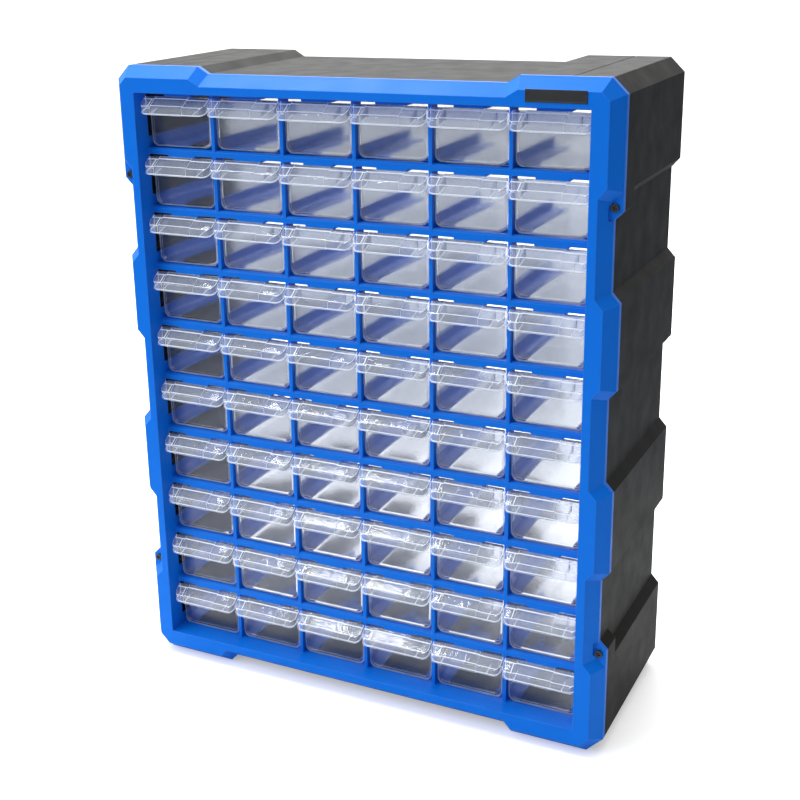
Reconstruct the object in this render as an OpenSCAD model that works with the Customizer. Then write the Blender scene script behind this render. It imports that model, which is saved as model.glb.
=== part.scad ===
// Parts bin cabinet: small see-through drawers with hooded pulls, in a bevelled
// front frame that is screwed to an open-backed casing.
// Origin: middle of the footprint, on the surface it stands on. +Z is up and the
// drawers pull out toward -Y. All sizes are in millimetres.

/* [Drawer grid] */
// Number of drawer columns
columns = 6; // [4:2:6]
// Number of drawer rows
rows = 10; // [6:1:10]
// Distance from one column to the next
column_pitch = 56.8; // [54:0.2:70]
// Distance from one row to the next
row_pitch = 43.8; // [42:0.2:60]
// Height of each cross bar's front face
bar_h = 4.8; // [3.6:0.1:5.6]
// Drop of the tab in the middle of each cross bar, which stops the drawer
tab_drop = 1.5; // [1:0.1:2]
// Width of that tab
tab_w = 23; // [20:0.5:30]
// Chamfer along each bar's upper front edge
bar_chamfer = 1.2; // [0.4:0.1:2]
// Width of each upright divider
divider_w = 2.6; // [1.6:0.1:3]
// Front-to-back depth of bars and dividers
grid_d = 10; // [6:0.5:16]

/* [Front frame] */
// Frame width beside the drawer opening
side_border = 19.6; // [17:0.1:30]
// Frame height below the drawer opening
bottom_border = 20; // [17:0.5:30]
// Frame height above the drawer opening
top_border = 18.5; // [17:0.5:30]
// Height of the top cross bar that shows below the opening's upper edge
lintel_h = 2.3; // [1:0.1:3]
// Depth of the opening in front of the grid
reveal_d = 14; // [13:0.5:20]
// Width of the bevel round the outer edge
bevel_w = 8; // [4:0.5:9]
// Depth of that bevel
bevel_d = 10; // [6:0.5:11]
// Depth of the straight lip behind the bevel
lip_d = 4; // [3:0.5:6]
// Step from the bevel's edge out to the lip
lip_step = 0.2; // [0.1:0.05:0.5]
// Wall thickness of the moulded frame
frame_wall = 2.4; // [1.8:0.1:3]

/* [Outline] */
// Length of the corner chamfers at the top
top_chamfer = 10; // [6:0.5:14]
// Length of the corner chamfers at the bottom
bottom_chamfer = 12; // [6:0.5:16]
// Width of the raised part at each end of the top
top_lobe_w = 69.5; // [40:0.5:90]
// Depth of the shallow recess along the top
top_recess_d = 5; // [3:0.5:7]
// Width of the slope into the top recess
top_slope_w = 8.4; // [4:0.2:12]
// Width of the foot at each end of the bottom
foot_w = 69.5; // [40:0.5:90]
// Height of the recess between the feet
foot_recess_h = 6; // [3:0.5:8]
// Width of the slope into the recess between the feet
foot_slope_w = 5.5; // [4:0.5:12]
// Number of grip recesses down each side
side_recesses = 3; // [1:1:4]
// Height of the first and the last raised part of each side
end_lobe_h = 70; // [50:1:80]
// Depth of the side recesses
side_recess_d = 5.8; // [3:0.2:7]
// Height of each slope into a side recess
side_slope_h = 6.5; // [4:0.5:12]

/* [Casing] */
// Depth of the casing behind the front frame
casing_d = 138; // [136:1:200]
// Wall thickness of the casing
casing_wall = 2.2; // [1.6:0.1:3]
// Reach of the inward flange round the open back
flange_w = 8; // [5:0.5:12]
// Depth of the step round the back edge
back_step_d = 1.5; // [1:0.1:3]
// Inset of that step
back_step_w = 0.8; // [0.4:0.1:1.5]
// Distance of the groove on the top from the casing's side
groove_inset = 35; // [20:1:40]
// Width of that groove
groove_w = 1; // [0.6:0.1:2]
// Depth of that groove
groove_d = 0.6; // [0.3:0.1:1]
// Side of the square plate in each rear corner
corner_plate = 30; // [26:1:36]
// Diameter of the wall-screw hole in each corner plate
wall_hole_dia = 5.5; // [4:0.1:6]
// Distance of those holes from the side and from the top or bottom
wall_hole_inset = 18; // [16:0.5:22]
// Length of the rim that plugs into the casing
spigot_l = 8; // [4:0.5:12]
// Thickness of that rim
spigot_t = 1.8; // [1.2:0.1:2.4]
// Clearance between that rim and the casing's wall
spigot_gap = 0.2; // [0.1:0.05:0.4]

/* [Screws] */
// Shaft diameter of the frame screws
screw_dia = 2.8; // [2.2:0.1:3]
// Shaft length behind the head
screw_l = 14; // [10:0.5:18]
// Head diameter
head_dia = 5.4; // [4.4:0.1:5.6]
// Head height
head_h = 2; // [1.2:0.1:2.6]
// Diameter of the casing's screw bosses
boss_dia = 7.4; // [6:0.2:8]
// Length of the casing's screw bosses
boss_l = 18; // [16:0.5:24]
// Distance of each screw from the end of its recess
screw_drop = 3.4; // [3:0.1:5]
// Distance of each screw's axis outside the recess floor
screw_out = 0.7; // [0:0.1:1.5]
// Length of the frame's ear past the screw's axis
ear_l = 8.2; // [6:0.2:12]
// Clearance between the screw's head and its pocket
pocket_gap = 0.9; // [0.3:0.1:1.5]

/* [Runner rails] */
// Thickness of each rail's web
web_t = 1.6; // [1.2:0.1:2.4]
// Height of each rail's web above its cross bar
web_h = 8; // [4:0.5:12]
// Length of the rails behind the grid
rail_l = 75; // [50:1:90]
// Reach of the ledge that the drawer runs on, from the middle of the web
ledge_w = 10; // [8.5:0.5:14]
// Thickness of that ledge
ledge_t = 1.5; // [1:0.1:2]

/* [Drawers] */
// Length of the drawer, front wall to rear wall
drawer_l = 128; // [100:1:130]
// Wall thickness of the drawer
drawer_wall = 1.3; // [1:0.1:1.8]
// Side clearance between the drawer's rim and the divider
drawer_gap = 1.4; // [0.8:0.1:2.5]
// Narrowing of each drawer side from rim to floor
drawer_draft = 0.6; // [0.2:0.1:1.5]
// Corner radius along the drawer's lower edges
drawer_r = 5; // [3:0.5:7]
// Running clearance above the ledges and below the tab
run_gap = 0.3; // [0.2:0.05:0.5]
// Height of the drawer's underside above its cross bar
drawer_lift = 2; // [1.9:0.1:3]
// Depth of the drawer's front wall behind the grid's front
setback = 2; // [1:0.5:4]
// Depth of the side and rear walls' rim below the front wall's top
rim_drop = 2.5; // [1.5:0.5:8]
// Width of the stop lip on the rear wall
stop_w = 18; // [12:1:19]

/* [Hooded pulls] */
// Reach of the hood in front of the drawer's front wall
hood_reach = 12; // [9:0.5:14]
// Gap between one hood and the next
hood_gap = 1.4; // [1:0.1:3]
// Corner radius of the hood, seen from above
hood_r = 5; // [3:0.5:8]
// Fall of the hood's top toward the front
hood_fall = 5.8; // [3:0.2:8]
// Height of the hood's front skirt
skirt_h = 6.3; // [5:0.1:9]
// Rise of the skirt's lower edge toward the wall
skirt_rise = 3.7; // [1:0.1:5]
// Chamfer along the hood's upper front edge
hood_chamfer = 0.8; // [0.3:0.1:1.5]
// Gap between the hood's back and the grid
hood_clear = 0.3; // [0.2:0.1:1]
// Distance of each rib under the hood from its middle
rib_x = 18; // [12:0.5:19]
// Thickness of those ribs
rib_t = 0.8; // [0.6:0.1:1.2]
// Width of the raised label pad, from the left rib
pad_w = 28; // [15:1:36]
// Thickness that the label pad adds
pad_t = 0.4; // [0.2:0.1:0.6]

/* [Hidden] */
$fn = 48;
// Overrun of cutting solids past the faces they cut
cut = 1;
// Straight pieces in each rounded lower corner of a drawer
corner_steps = 6;
// How many times its own length a slope runs on inside the frame
slope_runs = 4;
frame_d = bevel_d + lip_d;
total_d = frame_d + casing_d;
front_y = -total_d / 2;
lip_y = front_y + bevel_d;
seam_y = front_y + frame_d;
back_y = total_d / 2;
grid_y = front_y + reveal_d;
grid_back_y = grid_y + grid_d;
rail_back_y = grid_back_y + rail_l;
drawer_y = grid_y + setback;

half_w = columns * column_pitch / 2 + side_border;
open_half_w = columns * column_pitch / 2;
open_top = bottom_border + rows * row_pitch - bar_h + lintel_h;
height = open_top + top_border;
recess_x = half_w - side_recess_d;
recess_h = (height - 2 * end_lobe_h - 2 * side_recesses * side_slope_h) / (2 * side_recesses - 1);

screw_x = recess_x + screw_out;
screw_z_low = end_lobe_h + side_slope_h + screw_drop;
head_y = lip_y - head_h;
ear_z = screw_z_low + ear_l;

cell_h = row_pitch - bar_h;
rim_half_w = (column_pitch - divider_w) / 2 - drawer_gap;
floor_half_w = rim_half_w - drawer_draft;
wall_top = cell_h - tab_drop - run_gap;
rim_z = wall_top - rim_drop;
hood_half_w = (column_pitch - hood_gap) / 2;
hood_back = -setback - hood_clear;
hood_front_z = wall_top - hood_fall;
skirt_z = hood_front_z - skirt_h;
ledge_z = drawer_lift - run_gap - ledge_t;

function column_x(c) = (c - (columns + 1) / 2) * column_pitch;
function floor_z(r) = bottom_border + (rows - r) * row_pitch;
function drawer_name(r, c) = str("drawer_r", r, "_c", c);
function pair_name(c) = str("drawers_r", rows, "_c", c, "_c", c + 1);

// ---- Outline shared by the front frame and the casing ----

function side_recess_points(k) =
    let (z = end_lobe_h + k * 2 * (side_slope_h + recess_h))
    [[half_w, z],
     [recess_x, z + side_slope_h],
     [recess_x, z + side_slope_h + recess_h],
     [half_w, z + 2 * side_slope_h + recess_h]];

right_half = concat(
    [[half_w - foot_w - foot_slope_w, foot_recess_h],
     [half_w - foot_w, 0],
     [half_w - bottom_chamfer, 0],
     [half_w, bottom_chamfer]],
    [for (k = [0:side_recesses - 1]) each side_recess_points(k)],
    [[half_w, height - top_chamfer],
     [half_w - top_chamfer, height],
     [half_w - top_lobe_w, height],
     [half_w - top_lobe_w - top_slope_w, height - top_recess_d]]
);
outline = concat(
    right_half,
    [for (i = [len(right_half) - 1:-1:0]) [-right_half[i].x, right_half[i].y]]
);

// Inward unit normal of the edge that leaves point i of a counter-clockwise outline
function edge_normal(points, i) =
    let (a = points[i], b = points[(i + 1) % len(points)], d = b - a)
    [-d.y, d.x] / norm(d);

// The outline moved inward by d, with mitred corners
function inset(points, d) =
    [for (i = [0:len(points) - 1])
        let (before = edge_normal(points, (i + len(points) - 1) % len(points)),
             after = edge_normal(points, i))
        points[i] + d * (before + after) / (1 + before * after)];

// ---- Helpers ----

// A flat shape in X and Z, given thickness from y0 to y1
module slab(y0, y1) {
    translate([0, y1, 0])
        rotate([90, 0, 0])
            linear_extrude(y1 - y0)
                children();
}

// A flat shape in Y and Z, given width from x0 to x1
module profile(x0, x1) {
    translate([x0, 0, 0])
        rotate([90, 0, 90])
            linear_extrude(x1 - x0)
                children();
}

// A block from one corner to the opposite one
module block(low, high) {
    translate(low)
        cube(high - low);
}

module at_both_sides() {
    children();
    mirror([1, 0, 0])
        children();
}

module at_top_and_bottom() {
    children();
    translate([0, 0, height])
        mirror([0, 0, 1])
            children();
}

// ---- Front frame ----

// A convex piece of the outline in front of the lip, bevelled along each edge
module bevelled(points) {
    run = (bevel_w - lip_step) / bevel_d;
    difference() {
        slab(front_y, lip_y)
            polygon(points);
        for (i = [0:len(points) - 1]) {
            normal = edge_normal(points, i);
            translate([points[i].x, 0, points[i].y])
                rotate([0, -atan2(normal.y, normal.x), 0])
                    linear_extrude(3 * height, center = true)
                        polygon([[-cut, front_y - cut],
                                 [bevel_w + run * cut, front_y - cut],
                                 [-cut, lip_y + (cut + lip_step) / run]]);
        }
    }
}

function band(x, z0, z1) = [[-x, z0], [x, z0], [x, z1], [-x, z1]];

// Raised part of the right-hand end at z = 0, with its slopes carried on into the frame
function end_lobe(lobe_w, slope_w, depth, chamfer) =
    [[half_w - lobe_w, 0],
     [half_w - chamfer, 0],
     [half_w, chamfer],
     [half_w, end_lobe_h],
     [half_w - slope_runs * side_recess_d, end_lobe_h + slope_runs * side_slope_h],
     [half_w - lobe_w - slope_runs * slope_w, slope_runs * depth]];

// Raised parts above side recess k, with their slopes carried on and joined across
function middle_lobes(k) =
    let (top = end_lobe_h + 2 * k * (side_slope_h + recess_h),
         bottom = top - recess_h,
         x = half_w - slope_runs * side_recess_d,
         run = slope_runs * side_slope_h)
    [[-x, bottom - run], [x, bottom - run], [half_w, bottom], [half_w, top],
     [x, top + run], [-x, top + run], [-half_w, top], [-half_w, bottom]];

module bevelled_front() {
    bevelled(band(half_w - min(foot_w, top_lobe_w) / 2, foot_recess_h, height - top_recess_d));
    bevelled(band(recess_x, end_lobe_h / 2, height - end_lobe_h / 2));
    for (k = [1:1:side_recesses - 1])
        bevelled(middle_lobes(k));
    at_both_sides() {
        bevelled(end_lobe(foot_w, foot_slope_w, foot_recess_h, bottom_chamfer));
        translate([0, 0, height])
            mirror([0, 0, 1])
                bevelled(end_lobe(top_lobe_w, top_slope_w, top_recess_d, top_chamfer));
    }
}

// Pocket that lets the screw and its driver reach the lower ear
module ear_pocket() {
    inner_x = screw_x - head_dia / 2 - pocket_gap;
    slope = side_slope_h / side_recess_d;
    slab(front_y - cut, lip_y)
        polygon([[inner_x, screw_z_low - pocket_gap],
                 [inner_x, ear_z],
                 [recess_x, ear_z + pocket_gap],
                 [half_w + cut, ear_z + pocket_gap],
                 [half_w + cut, screw_z_low - pocket_gap - slope * (half_w + cut - inner_x)]]);
}

// Section of the ear that takes the lower screw, in line with the raised part below it
module ear_section() {
    polygon([[recess_x - side_recess_d, end_lobe_h],
             [half_w, end_lobe_h],
             [half_w, ear_z - side_recess_d],
             [recess_x, ear_z],
             [recess_x - side_recess_d, ear_z]]);
}

module opening_block(grow, y0, y1) {
    block([-open_half_w - grow, y0, bottom_border - grow],
          [open_half_w + grow, y1, open_top + grow]);
}

module bezel() {
    difference() {
        union() {
            difference() {
                bevelled_front();
                at_both_sides()
                    at_top_and_bottom()
                        ear_pocket();
            }
            slab(lip_y, seam_y)
                polygon(outline);
            at_both_sides()
                at_top_and_bottom()
                    slab(lip_y, seam_y)
                        ear_section();
            slab(lip_y, seam_y + spigot_l)
                polygon(inset(outline, casing_wall + spigot_gap));
        }
        // Hollow behind the front face, between the outer rim and the opening's walls
        difference() {
            union() {
                slab(front_y + frame_wall, lip_y + cut)
                    polygon(inset(outline, bevel_w));
                slab(lip_y, seam_y + spigot_l + cut)
                    polygon(inset(outline, casing_wall + spigot_gap + spigot_t));
            }
            opening_block(frame_wall, front_y, grid_y + cut);
        }
        opening_block(0, front_y - cut, seam_y + spigot_l + cut);
        at_both_sides()
            at_top_and_bottom()
                translate([screw_x, seam_y, screw_z_low])
                    rotate([-90, 0, 0])
                        cylinder(d = boss_dia + 2 * spigot_gap, h = spigot_l + cut);
        at_both_sides()
            at_top_and_bottom()
                translate([screw_x, lip_y - cut, screw_z_low])
                    rotate([-90, 0, 0])
                        cylinder(d = screw_dia + 2 * spigot_gap, h = frame_d);
    }
}

// Cross bar over the full width, with its top at z = 0
module cross_bar() {
    profile(-open_half_w - web_t, open_half_w + web_t)
        polygon([[grid_y, -bar_h],
                 [grid_y, -bar_chamfer],
                 [grid_y + bar_chamfer, 0],
                 [grid_back_y, 0],
                 [grid_back_y, -bar_h]]);
}

module stop_tab() {
    block([-tab_w / 2, grid_y, -bar_h - tab_drop],
          [tab_w / 2, grid_back_y, -bar_h + cut]);
}

// Runner rail between two columns: an upright web with a ledge on each side
module runner_rail() {
    block([-web_t / 2, grid_back_y - cut, -bar_h], [web_t / 2, rail_back_y, web_h]);
    block([-ledge_w, grid_back_y - cut, ledge_z], [ledge_w, rail_back_y, ledge_z + ledge_t]);
}

// Runner rail beside the last column, with one ledge
module side_rail() {
    block([open_half_w, grid_y, -bar_h], [open_half_w + web_t, rail_back_y, web_h]);
    block([open_half_w - ledge_w, grid_back_y - cut, ledge_z],
          [open_half_w + web_t / 2, rail_back_y, ledge_z + ledge_t]);
}

module grid() {
    for (r = [0:rows])
        translate([0, 0, floor_z(r)])
            cross_bar();
    for (r = [1:rows], c = [1:columns])
        translate([column_x(c), 0, floor_z(r - 1)])
            stop_tab();
    for (c = [1:columns - 1])
        block([column_x(c + 0.5) - divider_w / 2, grid_y, bottom_border - bar_h],
              [column_x(c + 0.5) + divider_w / 2, grid_back_y, floor_z(0)]);
    for (r = [1:rows])
        translate([0, 0, floor_z(r)]) {
            for (c = [1:columns - 1])
                translate([column_x(c + 0.5), 0, 0])
                    runner_rail();
            at_both_sides()
                side_rail();
        }
}

module front_frame() {
    color([0.05, 0.43, 0.85]) {
        bezel();
        difference() {
            opening_block(frame_wall, front_y + frame_wall, grid_y + frame_wall / 2);
            opening_block(0, front_y, grid_y + frame_wall);
        }
        grid();
    }
}

// ---- Casing ----

// Boss for the lower screw: a post inside the wall, and an ear outside it behind the frame's
module screw_boss() {
    translate([screw_x, seam_y, screw_z_low])
        rotate([-90, 0, 0])
            cylinder(d = boss_dia, h = boss_l);
    slab(seam_y, seam_y + boss_l)
        difference() {
            ear_section();
            polygon(inset(outline, casing_wall));
        }
}

module corner_gusset() {
    block([half_w - casing_wall - corner_plate, back_y - casing_wall, casing_wall],
          [half_w - casing_wall, back_y, casing_wall + corner_plate]);
}

module rear_casing() {
    color([0.15, 0.16, 0.15])
        difference() {
            union() {
                difference() {
                    union() {
                        slab(seam_y, back_y - back_step_d)
                            polygon(outline);
                        slab(seam_y, back_y)
                            polygon(inset(outline, back_step_w));
                    }
                    slab(seam_y - cut, back_y - casing_wall)
                        polygon(inset(outline, casing_wall));
                    slab(seam_y - cut, back_y + cut)
                        polygon(inset(outline, flange_w));
                }
                at_both_sides()
                    at_top_and_bottom()
                        screw_boss();
                intersection() {
                    at_both_sides()
                        at_top_and_bottom()
                            corner_gusset();
                    slab(seam_y, back_y)
                        polygon(inset(outline, casing_wall));
                }
            }
            at_both_sides()
                block([half_w - groove_inset - groove_w / 2, seam_y - cut, height - groove_d],
                      [half_w - groove_inset + groove_w / 2, back_y - back_step_d, height + cut]);
            at_both_sides()
                at_top_and_bottom()
                    translate([half_w - wall_hole_inset, back_y - 2 * casing_wall, wall_hole_inset])
                        rotate([-90, 0, 0])
                            cylinder(d = wall_hole_dia, h = 3 * casing_wall);
            at_both_sides()
                at_top_and_bottom()
                    translate([screw_x, seam_y - cut, screw_z_low])
                        rotate([-90, 0, 0])
                            cylinder(d = screw_dia, h = screw_l + cut);
        }
}

// ---- Screws ----

module frame_screw() {
    translate([screw_x, head_y, screw_z_low])
        rotate([-90, 0, 0]) {
            cylinder(d = head_dia, h = head_h);
            cylinder(d = screw_dia, h = head_h + screw_l);
        }
}

module frame_screws() {
    color([0.06, 0.06, 0.06])
        at_both_sides()
            at_top_and_bottom()
                frame_screw();
}

// ---- Drawers: x = 0 in the middle, y = 0 at the front wall, z = 0 at the cross bar ----

function corner_arc(x, z, radius, from) =
    [for (k = [0:corner_steps])
        let (a = from + 90 * k / corner_steps)
        [x + radius * cos(a), z + radius * sin(a)]];

// Trough section with rounded lower corners, shrunk by t all round but at the top
function trough(t, top) =
    let (x = floor_half_w - drawer_r, z = drawer_lift + drawer_r, radius = drawer_r - t)
    concat([[-rim_half_w + t, top]],
           corner_arc(-x, z, radius, 180),
           corner_arc(x, z, radius, 270),
           [[rim_half_w - t, top]]);

module trough_shell() {
    difference() {
        union() {
            slab(0, drawer_l)
                polygon(trough(0, rim_z));
            slab(0, drawer_wall)
                polygon(trough(0, wall_top));
        }
        slab(drawer_wall, drawer_l - drawer_wall)
            polygon(trough(drawer_wall, wall_top + cut));
    }
}

// The hood's plan: rounded front corners, and a neck that passes between the dividers
module hood_plan(t) {
    x = hood_half_w - t;
    r = hood_r - t;
    y = -hood_reach + t;
    back = hood_back - t;
    intersection() {
        union() {
            for (side = [-1, 1])
                translate([side * (x - r), y + r])
                    circle(r);
            translate([-x + r, y])
                square([2 * (x - r), 2 * r]);
            translate([-x, y + r])
                square([2 * x, hood_reach]);
        }
        translate([-x, y])
            square([2 * x, back - y]);
    }
    translate([-rim_half_w + t, back - cut])
        square([2 * (rim_half_w - t), drawer_wall - back + cut - t]);
}

// The hood's side view: a top that falls to the front and a skirt that rises to the wall.
// Its top is lowered by t and its lower edge by drop.
module hood_profile(t, drop) {
    polygon([[-hood_reach - pad_t, skirt_z - drop],
             [-hood_reach - pad_t, hood_front_z - hood_chamfer - pad_t - t],
             [-hood_reach + hood_chamfer, hood_front_z - t],
             [0, wall_top - t],
             [drawer_wall, wall_top - t],
             [drawer_wall, skirt_z + skirt_rise - drop],
             [hood_back, skirt_z + skirt_rise - drop]]);
}

module hood_solid(t, drop = 0) {
    intersection() {
        linear_extrude(row_pitch)
            hood_plan(t);
        profile(-column_pitch, column_pitch)
            hood_profile(t, drop);
    }
}

module hood() {
    difference() {
        union() {
            hood_solid(0);
            intersection() {
                hood_solid(-pad_t);
                block([-rib_x, -hood_reach - pad_t, skirt_z],
                      [pad_w - rib_x, hood_back, wall_top - pad_t]);
            }
        }
        hood_solid(drawer_wall, cut);
    }
    intersection() {
        hood_solid(0);
        for (side = [-1, 1])
            block([side * rib_x - rib_t / 2, -hood_reach, 0],
                  [side * rib_x + rib_t / 2, 0, wall_top]);
    }
}

module drawer() {
    color([0.78, 0.82, 0.85, 0.55]) {
        trough_shell();
        hood();
        block([-stop_w / 2, drawer_l - drawer_wall, rim_z - cut],
              [stop_w / 2, drawer_l, cell_h - run_gap]);
    }
}

module drawer_at(r, c) {
    translate([column_x(c), drawer_y, floor_z(r)])
        drawer();
}

// ---- Pieces ----

front_frame();
rear_casing();
frame_screws();
for (r = [1:rows - 1], c = [1:columns])
    drawer_at(r, c);
for (c = [1:2:columns])
    union() {
        drawer_at(rows, c);
        drawer_at(rows, c + 1);
    }
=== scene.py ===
"""Looks for the parts bin cabinet: moulded blue front frame, black casing, frosted
drawers with hooded pulls, cross-recess screws, a bare name plate, and a studio stage."""

import math
from collections import namedtuple

import bmesh
import bpy
from bpy.props import FloatProperty, FloatVectorProperty, PointerProperty
from mathutils import Matrix, Vector


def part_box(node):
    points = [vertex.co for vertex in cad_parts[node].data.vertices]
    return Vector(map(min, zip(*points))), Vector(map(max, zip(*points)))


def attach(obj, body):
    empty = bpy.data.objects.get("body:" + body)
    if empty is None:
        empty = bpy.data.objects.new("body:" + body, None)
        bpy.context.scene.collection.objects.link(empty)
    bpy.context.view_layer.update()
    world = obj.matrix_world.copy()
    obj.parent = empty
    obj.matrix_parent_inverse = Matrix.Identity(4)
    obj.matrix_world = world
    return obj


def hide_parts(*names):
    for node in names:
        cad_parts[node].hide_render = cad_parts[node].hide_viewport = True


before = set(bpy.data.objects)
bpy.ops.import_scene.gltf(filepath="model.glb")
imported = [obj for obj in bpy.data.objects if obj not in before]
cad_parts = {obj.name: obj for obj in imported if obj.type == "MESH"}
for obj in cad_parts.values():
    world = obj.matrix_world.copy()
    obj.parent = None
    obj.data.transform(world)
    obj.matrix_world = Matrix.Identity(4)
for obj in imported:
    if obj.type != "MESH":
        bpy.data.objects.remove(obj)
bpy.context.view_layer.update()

bl_info = {
    "name": "Parts Bin Cabinet Looks",
    "version": (1, 0, 0),
    "blender": (4, 5, 0),
    "location": "3D View > Sidebar > Parts Bin",
    "description": "Finishes, small fittings and studio stage for the parts bin cabinet",
    "category": "Object",
}

CABINET = "cabinet"
FIRST_DRAWER = "drawer_r1_c1"

# Finishes of a drawer, in the order of its material slots
FRONT_SLOT, EDGE_HIGHLIGHT_SLOT, HOOD_SLOT, SIDE_SLOT, RIM_SLOT = range(5)

# Sizes of a drawer's solid, in metres
DRAWER_LENGTH = 0.128    # front wall to rear
CORNER_RADIUS = 0.0052   # lower corners
HOOD_REACH = 0.012       # front wall to the fold along the hood's front
HOOD_FOLD_DROP = 0.0073  # drawer's top to the fold
HOOD_SKIRT = 0.0063      # fold to the skirt's lower edge
HOOD_BACK = 0.0023       # strip of the hood's top that stays as it is, next to the wall
HOOD_SLOPE = 0.518       # rise of the hood's top for each metre toward the wall
PAD_LEFT, PAD_RIGHT = -0.018, 0.010  # label pad's sides, from the drawer's middle

# Where the drawer's lines and roundings are looked for, in metres
MERGED = 0.00002         # points this close to each other are one
NEAR = 0.0001            # a point this close to a plane lies on it
MARGIN = 0.001           # picks start this far past a plane
TOP_DEPTH = 0.0024       # a point this far below the hood's slope is still on its top
FLARE_LENGTH = 0.002     # length over which the drawer widens to its front wall
RIDGE_RISE = 0.0001      # how far the ridge stands above the hood's top
FOLD_START, FOLD_BAND = 0.005, 0.0008    # fold line: before the wall, above or below the fold
SKIRT_START, SKIRT_BAND = 0.0022, 0.004  # skirt: before the wall, above its lower edge
SIDE_START, SIDE_BAND = 0.0005, 0.0006   # hood's sides: before the wall, inside the outline
PAD_SIDE_AREA = 0.00002  # largest face on the pad's sides, in square metres
UPWARD, SQUARE, FRONTAL = 0.8, 0.9, 0.95  # how squarely a normal lies along its axis

# Widths of the other painted highlight lines on the hood, as shares of the ridge's
RIB_LINE, FOLD_LINE, SKIRT_LINE, SIDE_LINE = 0.7, 0.5, 0.8, 0.6

# Angles between two faces
FLAT_ANGLE = math.radians(0.5)   # up to this they are one flat face
FOLD_ANGLE = math.radians(10)    # past this they meet at the hood's fold
CORNER_ANGLE = math.radians(25)  # past this they meet at a corner of a drawer
SCREW_ANGLE = math.radians(50)   # past this they meet at a corner of a screw
RIM_ANGLE = math.radians(60)     # past this they meet at an inner rim

# Plastics
PLASTIC_IOR = 1.42
MOTTLING = 0.22          # how far the moulded skin's tone and roughness wander
EDGE_HIGHLIGHT_GAIN = 4.0          # how fast the moulded skin is painted paler toward an edge, as a painted highlight
VEIL_SPREAD = (0.85, 1.15)     # a milky veil where it is thinnest and thickest, as shares
GLOSS_SPREAD = (0.6, 1.4)      # its roughness where it is least and most, as shares
PAINTED_RAIL_LIGHT_DEPTHS = (-0.052, -0.04)  # y where the painted light of the rails starts, and where it is full

# Name plate: bare border, then the step down to its face, and the rounding of its edges
PLATE_BORDER, PLATE_STEP, PLATE_SINK, PLATE_ROUNDING = 0.0007, 0.0002, 0.0001, 0.00012

# Screws
SCREW_SIDES = 40
SCREW_ROUNDING = 0.0005
POINT_TAPER = 0.15       # width of the point's end, as a share of the shaft's
RECESS_TURN = 20         # turn of the cross recess, in degrees

# Stage: each softbox has a name, place, size and the setting of its power
SOFTBOXES = (
    ("softbox_back", (-0.5, 1.5, 1.6), (1.6, 1.2), "back_power"),
    ("strip_overhead", (-0.65, 0.05, 1.6), (1.1, 0.25), "strip_power"),
    ("softbox_left", (-1.3, -1.6, 1.5), (1.3, 1.3), "left_power"),
)
CABINET_MIDDLE = Vector((0, 0, 0.24))
FLOOR_GAP = 0.0003       # floor to the cabinet's underside
FAR_FLOOR = (0.25, 0.8)  # distances between which the floor takes on its far look
SENSOR_WIDTH = 36
CAMERA_SHIFT = (0.0583, -0.0433)
CAMERA_CLIP = (0.05, 200)

DrawerPlaces = namedtuple("DrawerPlaces", "middle_x half_width wall_y floor_z fold_z skirt_z")


# ---------------------------------------------------------------- settings


class MouldedPlasticSettings(bpy.types.PropertyGroup):
    """Blue front frame and black casing."""

    frame_colour: FloatVectorProperty(
        name="Frame Colour", description="Blue of the moulded front frame",
        subtype="COLOR", size=3, min=0, max=1, default=(0.0012, 0.172, 0.78))
    frame_roughness: FloatProperty(
        name="Frame Roughness", description="Roughness of the frame's moulded skin",
        subtype="FACTOR", min=0, max=1, default=0.42)
    # Painted light: an emission in the frame's blue that makes the rails behind the grid glow
    painted_rail_light: FloatProperty(
        name="Painted Rail Light", description="Daylight that the thin rails behind the grid let through",
        min=0, max=1, default=0.12)
    casing_colour: FloatVectorProperty(
        name="Casing Colour", description="Black of the rear casing",
        subtype="COLOR", size=3, min=0, max=1, default=(0.013, 0.0135, 0.0118))
    casing_roughness: FloatProperty(
        name="Casing Roughness", description="Roughness of the casing's moulded skin",
        subtype="FACTOR", min=0, max=1, default=0.5)
    edge_radius: FloatProperty(
        name="Edge Radius", description="Rounding that the mould leaves on every edge",
        unit="LENGTH", min=0, max=0.002, precision=4, default=0.0006)
    grain_size: FloatProperty(
        name="Grain Size", description="Distance from one bump of the skin to the next",
        unit="LENGTH", min=0.0002, max=0.01, precision=4, default=0.0011)
    grain_depth: FloatProperty(
        name="Grain Depth", description="Height of the skin's bumps",
        unit="LENGTH", min=0, max=0.0005, precision=5, default=0.00003)


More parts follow.
